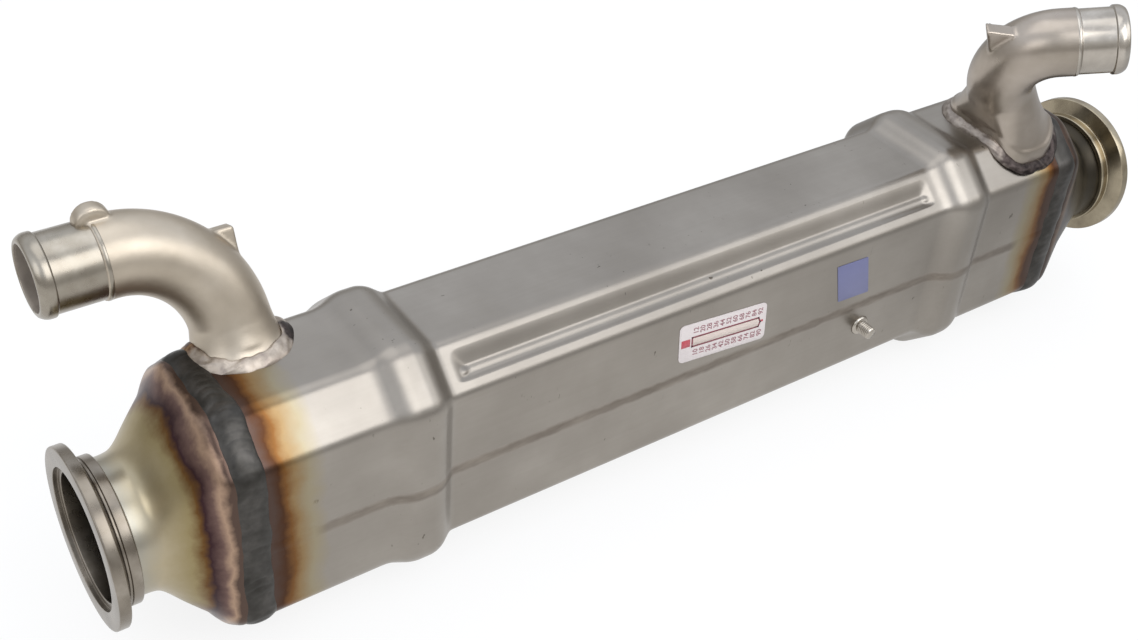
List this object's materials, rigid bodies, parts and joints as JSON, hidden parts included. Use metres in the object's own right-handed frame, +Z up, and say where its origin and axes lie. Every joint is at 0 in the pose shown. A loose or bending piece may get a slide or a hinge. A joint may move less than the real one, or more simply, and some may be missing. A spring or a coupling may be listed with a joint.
{
  "type": "egr cooler",
  "caption": "Long octagonal exhaust gas cooler: pressed steel jacket over flat gas tubes, bell cones with clamp flanges at the ends and cast coolant elbows on top.",
  "frame": {"origin": "centre of the gas inlet flange's sealing face", "axes": "+X along the gas path from the inlet to the outlet flange, +Z up towards the coolant elbows, -Y towards the side with the stud and labels"},
  "size_m": [0.6992, 0.1433, 0.2344],
  "materials": {
    "jacket_steel": "satin pressed stainless sheet",
    "core_steel": "brazed stainless sheet",
    "cone_steel": "pressed stainless sheet, tinted by heat near the weld",
    "flange_steel": "turned stainless",
    "weld_steel": "dark weld metal",
    "seam_steel": "flat ground weld",
    "cast_steel": "blasted stainless casting",
    "white_label": "matt film",
    "blue_label": "matt film"
  },
  "bodies": {
    "root": {"shell_upper": "jacket_steel", "shell_lower": "jacket_steel", "inlet_header_plate": "core_steel", "outlet_header_plate": "core_steel", "inlet_cone": "cone_steel", "outlet_cone": "cone_steel", "inlet_flange": "flange_steel", "outlet_flange": "flange_steel", "inlet_ring_weld": "weld_steel", "outlet_ring_weld": "weld_steel", "front_seam_weld": "seam_steel", "rear_seam_weld": "seam_steel", "coolant_inlet_elbow": "cast_steel", "coolant_outlet_elbow": "cast_steel", "inlet_elbow_weld": "weld_steel", "outlet_elbow_weld": "weld_steel", "stud_boss": "flange_steel", "mounting_stud": "flange_steel", "gauge_label": "white_label", "blue_label": "blue_label", "gas_tube_1": "core_steel", "gas_tube_2": "core_steel", "gas_tube_3": "core_steel", "gas_tube_4": "core_steel", "gas_tube_5": "core_steel", "gas_tube_6": "core_steel", "gas_tube_7": "core_steel", "tube_support_1": "core_steel", "tube_support_2": "core_steel"}
  },
  "joints": []
}
